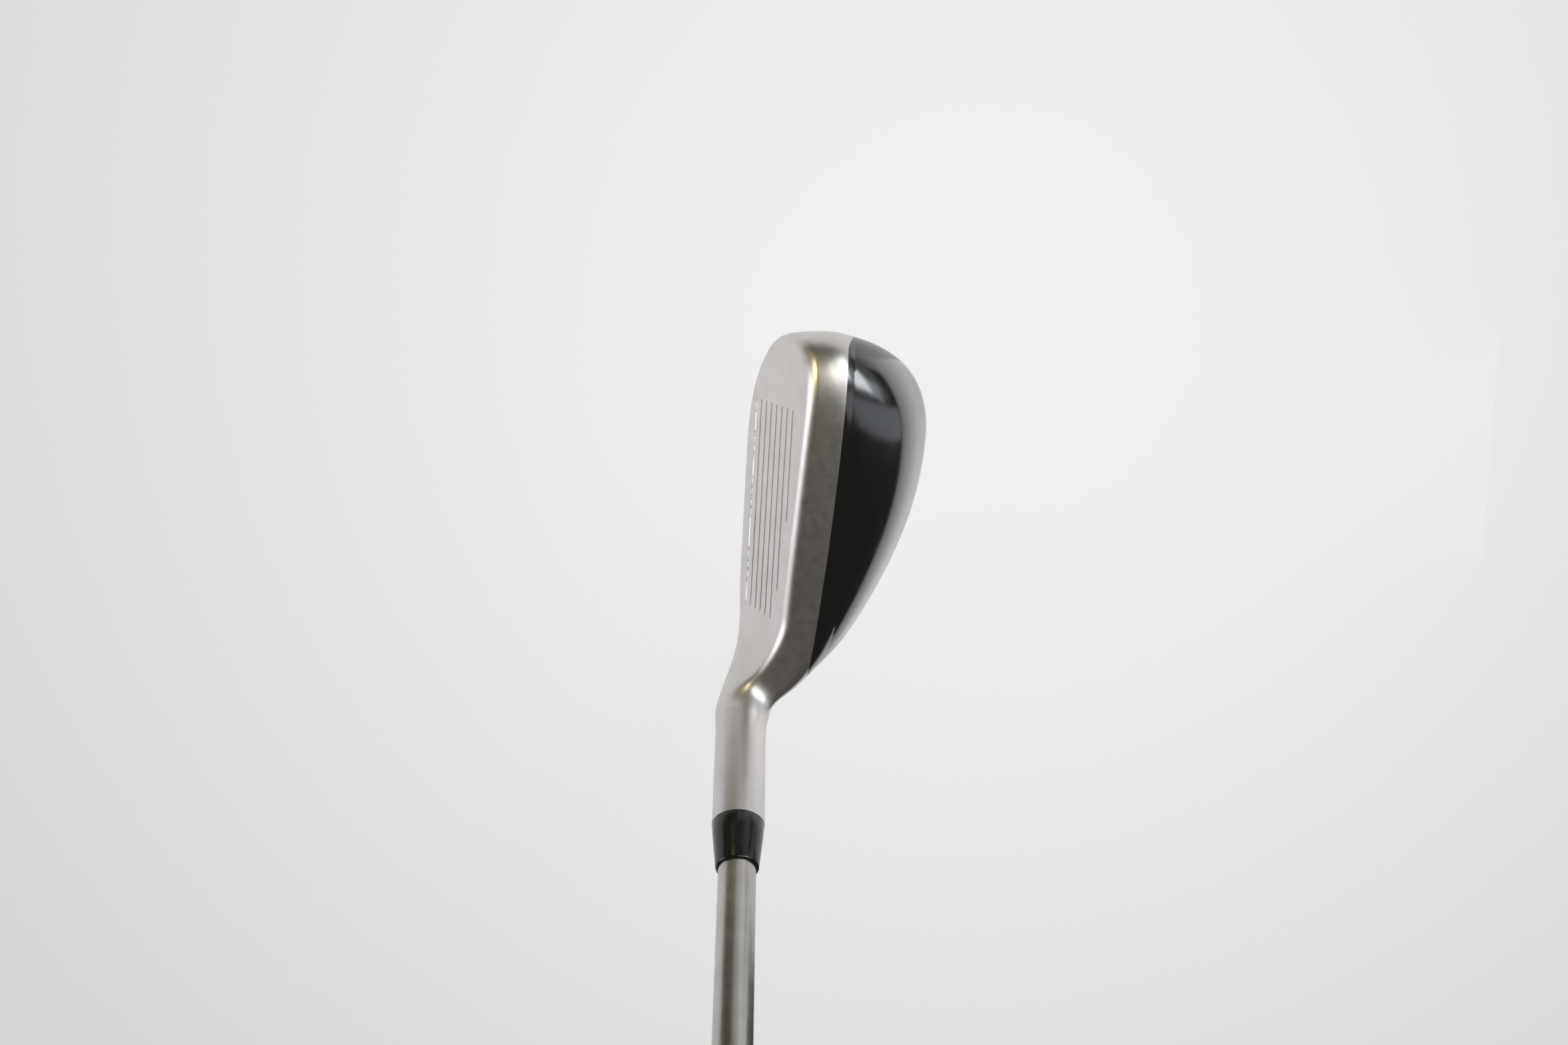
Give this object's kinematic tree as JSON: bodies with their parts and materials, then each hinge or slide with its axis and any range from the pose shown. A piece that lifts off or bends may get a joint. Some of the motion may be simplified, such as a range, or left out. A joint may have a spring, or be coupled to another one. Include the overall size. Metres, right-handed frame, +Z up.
{
  "type": "hybrid golf club",
  "caption": "Right-handed hybrid iron: hollow satin steel head with a gloss black crown, grooved face, black ferrule, stepped steel shaft and ribbed rubber grip.",
  "frame": {"origin": "on the shaft axis at the middle of the two hands, 100 mm below the butt end of the grip; the club is held there with its sole level", "axes": "+Z up at address, +Y the way the face looks, +X from heel to toe; the shaft leans back towards -X at the lie angle of 61 degrees"},
  "size_m": [0.577, 0.0612, 0.8701],
  "materials": {
    "head_steel": "satin, bead blasted stainless steel",
    "face_steel": "satin, milled face",
    "line_paint": "matte white paint, worn",
    "crown_gloss": "high gloss black lacquer",
    "adhesive": "matte",
    "weight_alloy": "rough sintered metal",
    "epoxy": "semi-matte cured epoxy",
    "ferrule_plastic": "satin black",
    "tip_brass": "machined",
    "shaft_steel": "satin plated steel",
    "tape": "paper-backed adhesive tape",
    "grip_rubber": "matte rubber",
    "cap_rubber": "matte rubber"
  },
  "bodies": {
    "root": {"head_body": "head_steel", "face_plate": "face_steel", "score_line_paint": "line_paint", "crown": "crown_gloss", "crown_bond": "adhesive", "sole_weight": "weight_alloy", "hosel_epoxy": "epoxy", "ferrule": "ferrule_plastic", "tip_weight": "tip_brass", "shaft": "shaft_steel", "grip_tape": "tape", "grip": "grip_rubber", "grip_cap": "cap_rubber"}
  },
  "joints": []
}
